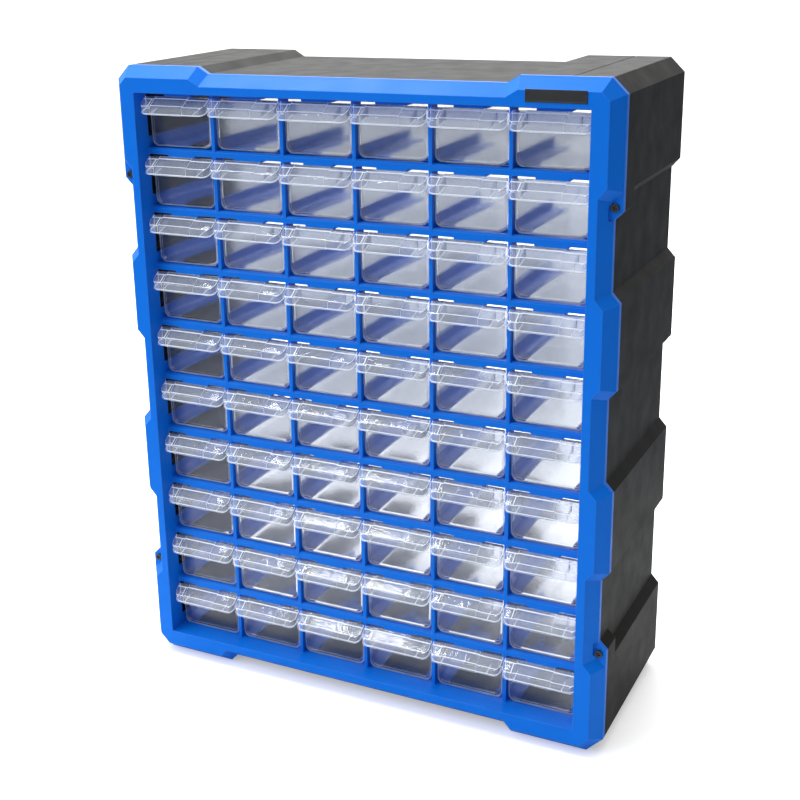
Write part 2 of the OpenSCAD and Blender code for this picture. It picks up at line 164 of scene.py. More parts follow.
class DrawerPlasticSettings(bpy.types.PropertyGroup):
    """Frosted drawers."""

    tint: FloatVectorProperty(
        name="Tint", description="Colour of the frosted plastic",
        subtype="COLOR", size=3, min=0, max=1, default=(0.72, 0.76, 0.84))
    clearness: FloatProperty(
        name="Clearness", description="Share of the light that passes straight through",
        subtype="FACTOR", min=0, max=1, default=0.99)
    roughness: FloatProperty(
        name="Roughness", description="Frosting of the walls",
        subtype="FACTOR", min=0, max=1, default=0.15)
    hood_roughness: FloatProperty(
        name="Hood Roughness", description="Frosting of the hoods",
        subtype="FACTOR", min=0, max=1, default=0.16)
    hood_colour: FloatVectorProperty(
        name="Hood Colour", description="Milky colour of the hoods",
        subtype="COLOR", size=3, min=0, max=1, default=(0.66, 0.76, 0.95))
    wall_veil: FloatProperty(
        name="Wall Veil", description="Share of the view that each skin of a side wall hides",
        subtype="FACTOR", min=0, max=1, default=0.07)
    hood_veil: FloatProperty(
        name="Hood Veil", description="Share of the view that each skin of the hood hides",
        subtype="FACTOR", min=0, max=1, default=0.2)
    rim_colour: FloatVectorProperty(
        name="Rim Colour", description="Milky colour of the rim of the front wall",
        subtype="COLOR", size=3, min=0, max=1, default=(0.50, 0.62, 0.85))
    rim_veil: FloatProperty(
        name="Rim Veil", description="Share of the view that the rim hides",
        subtype="FACTOR", min=0, max=1, default=0.85)
    # Partly painted highlight: the milky white of the edges and hood lines stands in for light they
    # catch
    edge_milk_and_highlight_colour: FloatVectorProperty(
        name="Edge Milk And Highlight Colour", description="Milky white of the rounded edges",
        subtype="COLOR", size=3, min=0, max=1, default=(0.86, 0.92, 1.0))
    # Painted light: the edges glow though nothing lights them
    edge_painted_light: FloatProperty(
        name="Edge Painted Light", description="Light that the edges gather from the rest of the drawer",
        min=0, max=1, default=0.22)
    # The hood's lines are painted highlights in the edge finish
    line_width: FloatProperty(
        name="Line Width", description="Width of the milky lines on the hood",
        unit="LENGTH", min=0.0001, max=0.0006, precision=5, default=0.00048)
    edge_width: FloatProperty(
        name="Edge Width", description="Rounding of the drawers' edges",
        unit="LENGTH", min=0.0001, max=0.0004, precision=5, default=0.0002)
    fold_place: FloatProperty(
        name="Fold Place", description="Distance of the hood's ridge from the front wall",
        unit="LENGTH", min=0.002, max=0.008, precision=4, default=0.0047)
    rib_place: FloatProperty(
        name="Rib Place", description="Distance of the hood's rib line from its middle",
        unit="LENGTH", min=0.018, max=0.024, precision=4, default=0.0202)
    top_rise: FloatProperty(
        name="Top Rise", description="Rise of the hood's top, as a share of the solid's",
        min=1, max=1.28, default=1.27)
    front_drop: FloatProperty(
        name="Front Drop", description="How far the front wall reaches below the drawer's floor",
        unit="LENGTH", min=0, max=0.0015, precision=4, default=0.0014)
    front_spread: FloatProperty(
        name="Front Spread",
        description="Width of the front wall, as a share of the drawer behind it",
        min=1, max=1.05, default=1.045)
    wall_rounding: FloatProperty(
        name="Wall Rounding", description="Rounding round the front wall",
        unit="LENGTH", min=0.0005, max=0.003, precision=4, default=0.0013)
    ripple_size: FloatProperty(
        name="Ripple Size", description="Distance between the ripples on the hoods",
        unit="LENGTH", min=0.001, max=0.05, precision=4, default=0.008)
    ripple_depth: FloatProperty(
        name="Ripple Depth", description="Height of the ripples on the hoods",
        unit="LENGTH", min=0, max=0.002, precision=5, default=0.00035)


class NamePlateSettings(bpy.types.PropertyGroup):
    """Bare plate on the frame's top border."""

    width: FloatProperty(
        name="Width", description="Width of the plate",
        unit="LENGTH", min=0.01, max=0.1, precision=4, default=0.0402)
    height: FloatProperty(
        name="Height", description="Height of the plate",
        unit="LENGTH", min=0.003, max=0.015, precision=4, default=0.0081)
    thickness: FloatProperty(
        name="Thickness", description="How far the plate stands proud of the frame",
        unit="LENGTH", min=0.0002, max=0.002, precision=4, default=0.0006)
    middle_x: FloatProperty(
        name="Middle X", description="Plate's middle, from the cabinet's middle",
        unit="LENGTH", min=-0.2, max=0.2, precision=4, default=0.1479)
    middle_z: FloatProperty(
        name="Middle Z", description="Plate's middle, above the floor",
        unit="LENGTH", min=0, max=0.5, precision=4, default=0.46275)
    colour: FloatVectorProperty(
        name="Colour", description="Black of the plate",
        subtype="COLOR", size=3, min=0, max=1, default=(0.010, 0.010, 0.011))


class FrameScrewSettings(bpy.types.PropertyGroup):
    """Cross-recess screws in the frame's ears."""

    head_radius: FloatProperty(
        name="Head Radius", description="Radius of the pan head",
        unit="LENGTH", min=0.001, max=0.005, precision=4, default=0.0027)
    head_height: FloatProperty(
        name="Head Height", description="Height of the pan head",
        unit="LENGTH", min=0.001, max=0.004, precision=4, default=0.002)
    shaft_radius: FloatProperty(
        name="Shaft Radius", description="Radius of the shaft",
        unit="LENGTH", min=0.0005, max=0.002, precision=4, default=0.0014)
    point_length: FloatProperty(
        name="Point Length", description="Length of the tapered point",
        unit="LENGTH", min=0.0005, max=0.005, precision=4, default=0.002)
    recess_width: FloatProperty(
        name="Recess Width", description="Length of each slot of the cross recess",
        unit="LENGTH", min=0.001, max=0.005, precision=4, default=0.0032)
    slot_width: FloatProperty(
        name="Slot Width", description="Width of each slot of the cross recess",
        unit="LENGTH", min=0.0002, max=0.002, precision=4, default=0.0008)
    recess_depth: FloatProperty(
        name="Recess Depth", description="Depth of the cross recess",
        unit="LENGTH", min=0.0002, max=0.002, precision=4, default=0.0012)
    colour: FloatVectorProperty(
        name="Colour", description="Blackened steel of the screws",
        subtype="COLOR", size=3, min=0, max=1, default=(0.05, 0.05, 0.052))


class StageSettings(bpy.types.PropertyGroup):
    """Floor, lights and camera."""

    floor_size: FloatProperty(
        name="Floor Size", description="Side of the square floor",
        unit="LENGTH", min=1, max=100, default=60)
    floor_colour: FloatVectorProperty(
        name="Floor Colour", description="Pale colour of the floor",
        subtype="COLOR", size=3, min=0, max=1, default=(0.9, 0.9, 0.9))
    floor_glow: FloatProperty(
        name="Floor Glow",
        description="Light of the floor's own, which softens the cabinet's shadow",
        min=0, max=2, default=0.36)
    far_floor: FloatVectorProperty(
        name="Far Floor", description="What shines off the floor away from the cabinet",
        subtype="COLOR", size=3, min=0, max=1, default=(0.3, 0.32, 0.36))
    back_power: FloatProperty(
        name="Back Light", description="Power of the softbox high behind the cabinet",
        subtype="POWER", min=0, max=500, default=24)
    strip_power: FloatProperty(
        name="Overhead Strip", description="Power of the strip light above the cabinet",
        subtype="POWER", min=0, max=500, default=15)
    left_power: FloatProperty(
        name="Left Light", description="Power of the softbox at the front left",
        subtype="POWER", min=0, max=500, default=20)
    back_sky: FloatProperty(
        name="Back Wall", description="Brightness of the white wall behind the cabinet",
        min=0, max=5, default=1.25)
    front_sky: FloatProperty(
        name="Room", description="Brightness of the room in front of the cabinet",
        min=0, max=5, default=0.55)
    ceiling: FloatProperty(
        name="Ceiling", description="How much brighter the studio is overhead",
        min=0, max=5, default=2.0)
    right_shade: FloatProperty(
        name="Right Shade", description="What is left of that brightness at the right",
        subtype="FACTOR", min=0, max=1, default=0.25)
    camera_place: FloatVectorProperty(
        name="Camera Place", description="Place of the camera",
        subtype="TRANSLATION", unit="LENGTH", size=3, default=(0.41702, -0.87151, 0.56148))
    camera_turn: FloatProperty(
        name="Camera Turn", description="Turn of the camera about the vertical",
        subtype="ANGLE", default=math.radians(27.5))
    camera_tilt: FloatProperty(
        name="Camera Tilt", description="How far the camera looks down",
        subtype="ANGLE", default=math.radians(17.96))
    camera_roll: FloatProperty(
        name="Camera Roll", description="Roll of the camera about its own view",
        subtype="ANGLE", default=math.radians(-1.44))
    lens: FloatProperty(
        name="Lens", description="Focal length on a 36 mm sensor",
        unit="CAMERA", min=1, max=500, default=60.09)


SETTINGS = {
    "pb_plastic": MouldedPlasticSettings,
    "pb_drawer": DrawerPlasticSettings,
    "pb_plate": NamePlateSettings,
    "pb_screw": FrameScrewSettings,
    "pb_stage": StageSettings,
}


# ---------------------------------------------------------------- node helpers


def new_group(name, inputs, outputs):
    """Start a shader node group; inputs are (name, socket type, default), outputs (name, type)."""
    tree = bpy.data.node_groups.new(name, "ShaderNodeTree")
    for label, kind, value in inputs:
        tree.interface.new_socket(label, in_out="INPUT", socket_type=kind).default_value = value
    for label, kind in outputs:
        tree.interface.new_socket(label, in_out="OUTPUT", socket_type=kind)
    return tree, tree.nodes.new("NodeGroupInput"), tree.nodes.new("NodeGroupOutput")


def feed(tree, node, inputs):
    """Feed the node's inputs, each from a socket or with a constant."""
    for key, source in inputs.items():
        if isinstance(source, bpy.types.NodeSocket):
            tree.links.new(source, node.inputs[key])
        else:
            node.inputs[key].default_value = source


def add(tree, kind, inputs=None, **values):
    """Add a node, set its properties to the values and feed its inputs."""
    node = tree.nodes.new(kind)
    for key, value in values.items():
        setattr(node, key, value)
    feed(tree, node, inputs or {})
    return node


def computed(tree, operation, a, b, clamp=False):
    """Output of a Math node."""
    return add(tree, "ShaderNodeMath", {0: a, 1: b}, operation=operation,
               use_clamp=clamp).outputs[0]


def mixed(tree, factor, a, b, blend="MIX"):
    """Output of a colour Mix node."""
    return add(tree, "ShaderNodeMix", {0: factor, 6: a, 7: b}, data_type="RGBA",
               blend_type=blend).outputs[2]


def mapped(tree, value, source=(0.0, 1.0), target=(0.0, 1.0)):
    """Output of a Map Range node that takes the source range to the target range."""
    return add(tree, "ShaderNodeMapRange", {
        "Value": value, "From Min": source[0], "From Max": source[1],
        "To Min": target[0], "To Max": target[1]}).outputs[0]


def object_place(tree):
    """Place of the shaded point in the object's own coordinates."""
    return add(tree, "ShaderNodeTexCoord").outputs["Object"]


def noise(tree, place, scale, detail=2.0, distortion=0.0):
    """Output of a Noise Texture node, from 0 to 1."""
    return add(tree, "ShaderNodeTexNoise", {
        "Vector": place, "Scale": scale, "Detail": detail,
        "Distortion": distortion}).outputs["Fac"]


def bumped(tree, height, distance, normal=None):
    """Normal from a Bump node, on top of another normal if one is given."""
    inputs = {"Height": height, "Distance": distance}
    if normal is not None:
        inputs["Normal"] = normal
    return add(tree, "ShaderNodeBump", inputs).outputs[0]


def new_material(name):
    """An empty node material with its output and Principled shader."""
    material = bpy.data.materials.new(name)
    material.use_nodes = True
    tree = material.node_tree
    tree.nodes.clear()
    shader = tree.nodes.new("ShaderNodeBsdfPrincipled")
    end = tree.nodes.new("ShaderNodeOutputMaterial")
    tree.links.new(shader.outputs[0], end.inputs["Surface"])
    return material, tree, shader


# ---------------------------------------------------------------- materials


def make_moulded_skin():
    """Group for moulded plastic: fine grain, slow sink waves, rounded edges, and a painted
    highlight that makes the edges slightly paler.
    """
    tree, entry, out = new_group(
        "moulded_skin",
        [("Colour", "NodeSocketColor", (0.5, 0.5, 0.5, 1)),
         ("Roughness", "NodeSocketFloat", 0.45),
         ("Grain Scale", "NodeSocketFloat", 900.0),
         ("Grain Depth", "NodeSocketFloat", 0.00003),
         ("Wave Depth", "NodeSocketFloat", 0.0002),
         ("Edge Radius", "NodeSocketFloat", 0.0006),
         ("Edge Paleness", "NodeSocketFloat", 0.2)],
        [("Colour", "NodeSocketColor"), ("Roughness", "NodeSocketFloat"),
         ("Normal", "NodeSocketVector")])
    given = entry.outputs
    place = object_place(tree)
    grain = noise(tree, place, given["Grain Scale"], detail=3.0)
    wave = noise(tree, place, 16.0, detail=1.0)
    smear = noise(tree, place, 55.0, detail=4.0)
    rounded = add(tree, "ShaderNodeBevel", {"Radius": given["Edge Radius"]}, samples=4).outputs[0]
    flat = add(tree, "ShaderNodeNewGeometry").outputs["Normal"]
    facing = add(tree, "ShaderNodeVectorMath", {0: rounded, 1: flat},
                 operation="DOT_PRODUCT").outputs["Value"]
    edge = computed(tree, "MULTIPLY", computed(tree, "SUBTRACT", 1.0, facing), EDGE_HIGHLIGHT_GAIN,
                    clamp=True)
    waved = bumped(tree, wave, given["Wave Depth"], rounded)
    grained = bumped(tree, grain, given["Grain Depth"], waved)
    mottled = mixed(tree, computed(tree, "MULTIPLY", smear, MOTTLING), given["Colour"],
                    (0.6, 0.6, 0.6, 1), "MULTIPLY")
    # Painted highlight: the colour is mixed toward white near every edge
    paler = mixed(tree, computed(tree, "MULTIPLY", edge, given["Edge Paleness"]), mottled,
                  (1, 1, 1, 1))
    spread = computed(tree, "MULTIPLY", computed(tree, "SUBTRACT", smear, 0.5), MOTTLING)
    rough = computed(tree, "ADD", given["Roughness"], spread, clamp=True)
    feed(tree, out, {"Colour": paler, "Roughness": rough, "Normal": grained})
    return tree


def add_moulded_skin(tree, shader, inputs):
    """Feed the shader from the moulded skin, whose group is made at its first use."""
    group = bpy.data.node_groups.get("moulded_skin") or make_moulded_skin()
    skin = add(tree, "ShaderNodeGroup", node_tree=group)
    feed(tree, skin, inputs)
    feed(tree, shader, {"Base Color": skin.outputs["Colour"],
                        "Roughness": skin.outputs["Roughness"],
                        "Normal": skin.outputs["Normal"]})


def moulded_material(name, colour, roughness, settings, specular, wave_depth, painted_edge_highlight, painted_glow=0.0):
    """Moulded plastic in one colour; the glow is painted light that makes its rails behind the grid
    glow.
    """
    material, tree, shader = new_material(name)
    add_moulded_skin(tree, shader, {
        "Colour": (*colour, 1), "Roughness": roughness, "Grain Scale": 1 / settings.grain_size,
        "Grain Depth": settings.grain_depth, "Wave Depth": wave_depth,
        "Edge Radius": settings.edge_radius, "Edge Paleness": painted_edge_highlight})
    feed(tree, shader, {"Specular IOR Level": specular})
    # Painted light: behind the grid the frame glows in its own colour
    if painted_glow:
        depth = add(tree, "ShaderNodeSeparateXYZ", {0: object_place(tree)}).outputs["Y"]
        painted_rail_strength = mapped(tree, depth, PAINTED_RAIL_LIGHT_DEPTHS, (0.0, painted_glow))
        feed(tree, shader, {"Emission Color": (*colour, 1), "Emission Strength": painted_rail_strength})
    return material


def screw_material(colour):
    """Blackened steel, with rims painted paler as a painted edge highlight."""
    material, tree, shader = new_material("blackened_screw_steel")
    add_moulded_skin(tree, shader, {
        "Colour": (*colour, 1), "Roughness": 0.38, "Grain Scale": 3000.0,
        "Grain Depth": 0.00001, "Wave Depth": 0.00002,
        "Edge Radius": 0.0001, "Edge Paleness": 0.25})
    feed(tree, shader, {"Metallic": 0.6})
    return material


def plate_material(colour):
    """Satin black lacquer with a fine stipple."""
    material, tree, shader = new_material("name_plate_black")
    place = object_place(tree)
    stipple = noise(tree, place, 2600.0)
    haze = noise(tree, place, 180.0, detail=3.0)
    tone = mixed(tree, computed(tree, "MULTIPLY", haze, 0.5), (*colour, 1), (0.03, 0.03, 0.032, 1))
    rough = computed(tree, "ADD", 0.28, computed(tree, "MULTIPLY", haze, 0.16))
    feed(tree, shader, {"Base Color": tone, "Roughness": rough,
                        "Normal": bumped(tree, stipple, 0.00001)})
    return material


def frosted_wall_material(settings):
    """Frosted see-through plastic of the front walls."""
    material, tree, shader = new_material("frosted_drawer_wall")
    place = object_place(tree)
    cloud = noise(tree, place, 260.0, detail=3.0)
    flow = noise(tree, place, 45.0)
    clouded = bumped(tree, cloud, 0.000008, bumped(tree, flow, 0.00012))
    spread = computed(tree, "MULTIPLY", computed(tree, "SUBTRACT", cloud, 0.5), 0.12)
    rough = computed(tree, "ADD", settings.roughness, spread, clamp=True)
    paler = [0.5 + part / 2 for part in settings.tint]
    tint = mixed(tree, cloud, (*settings.tint, 1), (*paler, 1))
    feed(tree, shader, {
        "Base Color": tint, "Roughness": rough, "Normal": clouded, "IOR": PLASTIC_IOR,
        "Specular IOR Level": 0.3, "Transmission Weight": settings.clearness})
    return material


def edge_highlight_material(settings):
    """Edges of the frosted plastic, which gather light and look white: milky white, partly a
    painted highlight, with a glow of painted light.
    """
    material, tree, shader = new_material("milky_drawer_edge")
    sparkle = noise(tree, object_place(tree), 900.0)
    tone = mixed(tree, sparkle, (*settings.edge_milk_and_highlight_colour, 1), (0.8, 0.86, 0.95, 1))
    # Painted light: the edges glow in their own colour
    feed(tree, shader, {
        "Base Color": tone, "Roughness": mapped(tree, sparkle, target=(0.12, 0.4)),
        "Normal": bumped(tree, sparkle, 0.00005), "Emission Color": tone,
        "Emission Strength": settings.edge_painted_light, "IOR": PLASTIC_IOR, "Transmission Weight": 0.1})
    return material


def milky_skin_material(name, colour, veil, roughness, settings):
    """Thin glossy plastic: a milky veil that still shows what is behind it."""
    material, tree, shader = new_material(name)
    place = object_place(tree)
    ripple = noise(tree, place, 1 / settings.ripple_size, detail=1.5, distortion=0.8)
    cloud = noise(tree, place, 60.0)
    rippled = bumped(tree, ripple, settings.ripple_depth)
    hidden = mapped(tree, cloud, (0.3, 0.7), [veil * share for share in VEIL_SPREAD])
    rough = mapped(tree, cloud, target=[roughness * share for share in GLOSS_SPREAD])
    tone = mixed(tree, ripple, (*colour, 1), (0.8, 0.86, 0.98, 1))
    feed(tree, shader, {
        "Base Color": tone, "Alpha": hidden, "Roughness": rough, "Normal": rippled,
        "Coat Normal": rippled, "Coat Weight": 1.0, "Coat IOR": 1.9, "Coat Roughness": 0.07})
    return material


def drawer_materials(settings):
    """Finishes of the front wall, edges and lines (painted highlights), hood, other walls and rim,
    in the order of their slots.
    """
    return (
        frosted_wall_material(settings),
        edge_highlight_material(settings),
        milky_skin_material("milky_drawer_hood", settings.hood_colour, settings.hood_veil,
                            settings.hood_roughness, settings),
        milky_skin_material("clear_drawer_wall", settings.hood_colour, settings.wall_veil,
                            settings.roughness, settings),
        milky_skin_material("milky_drawer_rim", settings.rim_colour, settings.rim_veil,
                            settings.roughness, settings),
    )


def dress(node, material):
    """Give a CAD node one material."""
    slots = node.data.materials
    slots.clear()
    slots.append(material)


# ---------------------------------------------------------------- modelling helpers


def nothing_selected():
    """Leave edit mode and deselect every object."""
    if bpy.context.object and bpy.context.object.mode != "OBJECT":
        bpy.ops.object.mode_set(mode="OBJECT")
    bpy.ops.object.select_all(action="DESELECT")


def pick_object(piece):
    """Make the piece the only selected object, and the active one."""
    nothing_selected()
    piece.select_set(True)
    bpy.context.view_layer.objects.active = piece


def pick_faces(piece, test):
    """In edit mode, select only the faces whose centre and normal pass the test."""
    bpy.ops.mesh.select_mode(type="FACE")
    bpy.ops.mesh.select_all(action="DESELECT")
    bpy.ops.object.mode_set(mode="OBJECT")
    for face in piece.data.polygons:
        face.select = test(face.center, face.normal)
    bpy.ops.object.mode_set(mode="EDIT")


def pick_points(piece, test):
    """In edit mode, select only the points that pass the test."""
    bpy.ops.mesh.select_mode(type="VERT")
    bpy.ops.mesh.select_all(action="DESELECT")
    shape = bmesh.from_edit_mesh(piece.data)
    for vertex in shape.verts:
        vertex.select_set(test(vertex.co))
    bmesh.update_edit_mesh(piece.data)


def pick_edges(piece, test, sharp=CORNER_ANGLE):
    """In edit mode, select only outer corners sharper than an angle, with both ends passing."""
    bpy.ops.mesh.select_mode(type="EDGE")
    bpy.ops.mesh.select_all(action="DESELECT")
    shape = bmesh.from_edit_mesh(piece.data)
    for edge in shape.edges:
        edge.select_set(edge.is_convex and edge.calc_face_angle(0) > sharp
                        and all(test(vertex.co) for vertex in edge.verts))
    bmesh.update_edit_mesh(piece.data)


def round_corners(piece, width, segments, angle=None):
    """Round every corner of the piece sharper than an angle with a Bevel modifier, and apply it."""
    bevel = piece.modifiers.new("rounding", "BEVEL")
    bevel.width = width
    bevel.segments = segments
    bevel.limit_method = "ANGLE"
    if angle:
        bevel.angle_limit = angle
    bpy.ops.object.modifier_apply(modifier=bevel.name)


def copy_of(context, pattern, name, place):
    """A copy of the pattern with a mesh of its own, at a place of its own."""
    piece = pattern.copy()
    piece.data = pattern.data.copy()
    piece.name = name
    context.collection.objects.link(piece)
    piece.location = place
    return piece


def settle(piece, body, slot, *materials):
    """Put the piece's place into its mesh, give it its finish, and let it ride on a body."""
    pick_object(piece)
    bpy.ops.object.transform_apply(location=True, rotation=True, scale=True)
    if materials:
        piece.data.materials.clear()
    for material in materials:
        piece.data.materials.append(material)
    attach(piece, body)


# ---------------------------------------------------------------- drawer


def spread_front_wall(drawer, at, settings):
    """Make the front wall below the hood a little wider and deeper than the drawer behind it."""
    flare_y = at.wall_y + FLARE_LENGTH
    flare_z = at.skirt_z + FLARE_LENGTH
    pick_faces(drawer, lambda centre, normal: centre.y > at.wall_y - NEAR)
    bpy.ops.mesh.bisect(plane_co=(at.middle_x, flare_y, at.floor_z), plane_no=(0, 1, 0))
    pick_faces(drawer, lambda centre, normal: at.wall_y - NEAR < centre.y < flare_y)
    bpy.ops.mesh.bisect(plane_co=(at.middle_x, at.wall_y, flare_z), plane_no=(0, 0, 1))
    pick_points(drawer, lambda place: abs(place.y - at.wall_y) < NEAR
                and place.z < flare_z + NEAR)
    bpy.ops.transform.resize(value=(settings.front_spread, 1, 1),
                             center_override=(at.middle_x, at.wall_y, at.floor_z))
    pick_points(drawer, lambda place: place.y < at.wall_y + NEAR
                and place.z < at.floor_z + CORNER_RADIUS)
    bpy.ops.transform.translate(value=(0, 0, -settings.front_drop))


def raise_hood_top(drawer, at, settings):
    """Make the hood's top steeper than the solid's, so that it closes on the cross bar above."""
    back_y = at.wall_y - HOOD_BACK
    pick_faces(drawer, lambda centre, normal: abs(normal.z) > UPWARD
               and centre.y < at.wall_y - MARGIN and centre.z > at.fold_z - MARGIN)
    bpy.ops.mesh.bisect(plane_co=(at.middle_x, back_y, at.floor_z), plane_no=(0, 1, 0))
    pick_points(drawer, lambda place: place.y < back_y + NEAR and place.z
                > at.fold_z + (place.y - at.wall_y + HOOD_REACH) * HOOD_SLOPE - TOP_DEPTH)
    bpy.ops.transform.resize(value=(1, 1, settings.top_rise),
                             center_override=(at.middle_x, at.wall_y, at.fold_z))


def draw_hood_highlight_lines(drawer, at, settings):
    """Ridge across the hood's top, the rib's line left of the label pad, and the fold's line, in
    the painted highlight finish.
    """
    ridge_y = at.wall_y - settings.fold_place

    def on_top(centre, normal):
        return normal.z > UPWARD and centre.y < at.wall_y - MARGIN

    pick_faces(drawer, on_top)
    bpy.ops.mesh.bisect(plane_co=(at.middle_x, ridge_y, at.floor_z), plane_no=(0, 1, 0))
    bpy.ops.transform.translate(value=(0, 0, RIDGE_RISE))
    bpy.ops.mesh.bevel(offset=settings.line_width, segments=1, material=EDGE_HIGHLIGHT_SLOT)
    pick_faces(drawer, lambda centre, normal: on_top(centre, normal)
               and centre.x < at.middle_x + PAD_LEFT and centre.y < ridge_y - MARGIN)
    bpy.ops.mesh.bisect(plane_co=(at.middle_x - settings.rib_place, at.wall_y, at.floor_z),
                        plane_no=(1, 0, 0))
    bpy.ops.mesh.bevel(offset=settings.line_width * RIB_LINE, segments=1, material=EDGE_HIGHLIGHT_SLOT)
    pick_edges(drawer, lambda place: place.y < at.wall_y - FOLD_START
               and abs(place.z - at.fold_z) < FOLD_BAND, sharp=FOLD_ANGLE)
    bpy.ops.mesh.bevel(offset=settings.line_width * FOLD_LINE, segments=2, material=EDGE_HIGHLIGHT_SLOT)


def round_drawer(drawer, at, settings):
    """Round the front wall, the skirt's lower edge, the hood's sides, then the inner rims; the
    skirt and sides get the painted highlight finish.
    """
    pick_edges(drawer, lambda place: abs(place.y - at.wall_y) < NEAR / 2)
    bpy.ops.mesh.bevel(offset=settings.wall_rounding, segments=4)
    pick_edges(drawer, lambda place: place.y < at.wall_y - SKIRT_START
               and place.z < at.skirt_z + SKIRT_BAND)
    bpy.ops.mesh.bevel(offset=settings.line_width * SKIRT_LINE, segments=2, material=EDGE_HIGHLIGHT_SLOT)
    pick_edges(drawer, lambda place: place.y < at.wall_y - SIDE_START
               and abs(place.x - at.middle_x) > at.half_width - SIDE_BAND)
    bpy.ops.mesh.bevel(offset=settings.line_width * SIDE_LINE, segments=2, material=EDGE_HIGHLIGHT_SLOT)
    pick_edges(drawer, lambda place: place.y > at.wall_y + MARGIN, sharp=RIM_ANGLE)
    bpy.ops.mesh.bevel(offset=settings.edge_width, segments=2)


def slot_of(face, at):
    """Slot of the finish that a face of the drawer gets."""
    centre, normal = face.center, face.normal
    pad_sides = (at.middle_x + PAD_LEFT, at.middle_x + PAD_RIGHT)
    on_pad_side = abs(normal.x) > SQUARE and min(abs(centre.x - side) for side in pad_sides) < NEAR
    # Edges, hood lines and the pad's narrow sides get the painted highlight finish
    if face.material_index == EDGE_HIGHLIGHT_SLOT or (on_pad_side and face.area < PAD_SIDE_AREA):
        return EDGE_HIGHLIGHT_SLOT
    if abs(centre.y - at.wall_y) < FLARE_LENGTH:
        if abs(normal.y) > FRONTAL:
            return FRONT_SLOT
        if centre.z < at.skirt_z + FLARE_LENGTH:
            return RIM_SLOT
    return HOOD_SLOT if centre.y < at.wall_y + FLARE_LENGTH else SIDE_SLOT


# ---------------------------------------------------------------- operators


class PARTSBIN_OT_finish_frame(bpy.types.Operator):
    """Give the front frame its blue moulded plastic"""

    bl_idname = "parts_bin.finish_frame"
    bl_label = "Front Frame"

    def execute(self, context):
        plastic = context.scene.pb_plastic
        dress(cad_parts["front_frame"], moulded_material(
            "blue_frame_plastic", plastic.frame_colour, plastic.frame_roughness, plastic,
            specular=0.12, wave_depth=0.0003, painted_edge_highlight=0.10, painted_glow=plastic.painted_rail_light))
        return {"FINISHED"}


class PARTSBIN_OT_finish_casing(bpy.types.Operator):
    """Give the rear casing its black moulded plastic"""

    bl_idname = "parts_bin.finish_casing"
    bl_label = "Rear Casing"

    def execute(self, context):
        plastic = context.scene.pb_plastic
        dress(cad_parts["rear_casing"], moulded_material(
            "black_casing_plastic", plastic.casing_colour, plastic.casing_roughness, plastic,
            specular=0.05, wave_depth=0.0005, painted_edge_highlight=0.05))
        return {"FINISHED"}


class PARTSBIN_OT_mould_drawers(bpy.types.Operator):
    """Round one drawer's edges, draw the lines of its hood, and set a copy in each cell"""

    bl_idname = "parts_bin.mould_drawers"
    bl_label = "Drawers"

    def execute(self, context):
        settings = context.scene.pb_drawer
        pattern = self.model_drawer(context, settings)
        pattern_low, pattern_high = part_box(FIRST_DRAWER)
        for name in sorted(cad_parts):
            if not name.startswith("drawer"):
                continue
            low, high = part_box(name)
            places = (low - pattern_low,)
            if name.startswith("drawers"):
                places = (low - pattern_low, high - pattern_high)
            for number, place in enumerate(places, 1):
                label = f"moulded_{name}_{number}" if len(places) > 1 else f"moulded_{name}"
                drawer = copy_of(context, pattern, label, place)
                settle(drawer, name, "clear_drawer")
                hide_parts(name)
        bpy.data.objects.remove(pattern)
        return {"FINISHED"}

    @staticmethod
    def model_drawer(context, settings):
        """The first drawer with rounded edges, in milky plastic painted as highlights where they
        catch the light.
        """
        low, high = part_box(FIRST_DRAWER)
        fold_z = high.z - HOOD_FOLD_DROP
        at = DrawerPlaces(
            middle_x=(low.x + high.x) / 2, half_width=(high.x - low.x) / 2,
            wall_y=high.y - DRAWER_LENGTH, floor_z=low.z, fold_z=fold_z,
            skirt_z=fold_z - HOOD_SKIRT)
        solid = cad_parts[FIRST_DRAWER]
        drawer = bpy.data.objects.new("drawer_pattern", solid.data.copy())
        context.collection.objects.link(drawer)
        drawer.data.materials.clear()
        for material in drawer_materials(settings):
            drawer.data.materials.append(material)
        pick_object(drawer)
        bpy.ops.mesh.customdata_custom_splitnormals_clear()
        bpy.ops.object.mode_set(mode="EDIT")
        bpy.ops.mesh.select_all(action="SELECT")
        bpy.ops.mesh.remove_doubles(threshold=MERGED)
        bpy.ops.mesh.dissolve_limited(angle_limit=FLAT_ANGLE)
        for shape in (spread_front_wall, raise_hood_top, draw_hood_highlight_lines, round_drawer):
            shape(drawer, at, settings)
        bpy.ops.object.mode_set(mode="OBJECT")
        for face in drawer.data.polygons:
            face.material_index = slot_of(face, at)
        bpy.ops.object.shade_smooth_by_angle(angle=CORNER_ANGLE)
        return drawer


class PARTSBIN_OT_add_name_plate(bpy.types.Operator):
    """Set the bare plate on the frame's top border"""

    bl_idname = "parts_bin.add_name_plate"
    bl_label = "Name Plate"

    def execute(self, context):
        sizes = context.scene.pb_plate
        face_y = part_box("front_frame")[0].y
        nothing_selected()
        bpy.ops.mesh.primitive_cube_add(
            size=1, location=(sizes.middle_x, face_y - sizes.thickness / 2, sizes.middle_z),
            scale=(sizes.width, sizes.thickness, sizes.height))
        plate = context.object
        plate.name = "name_plate"
        bpy.ops.object.transform_apply(location=True, rotation=True, scale=True)
        bpy.ops.object.mode_set(mode="EDIT")
        pick_faces(plate, lambda centre, normal: normal.y < -SQUARE)
        bpy.ops.mesh.inset(thickness=PLATE_BORDER, depth=0)
        bpy.ops.mesh.inset(thickness=PLATE_STEP, depth=-PLATE_SINK)
        bpy.ops.object.mode_set(mode="OBJECT")
        round_corners(plate, PLATE_ROUNDING, 2)
        settle(plate, CABINET, "black_casing", plate_material(sizes.colour))
        return {"FINISHED"}


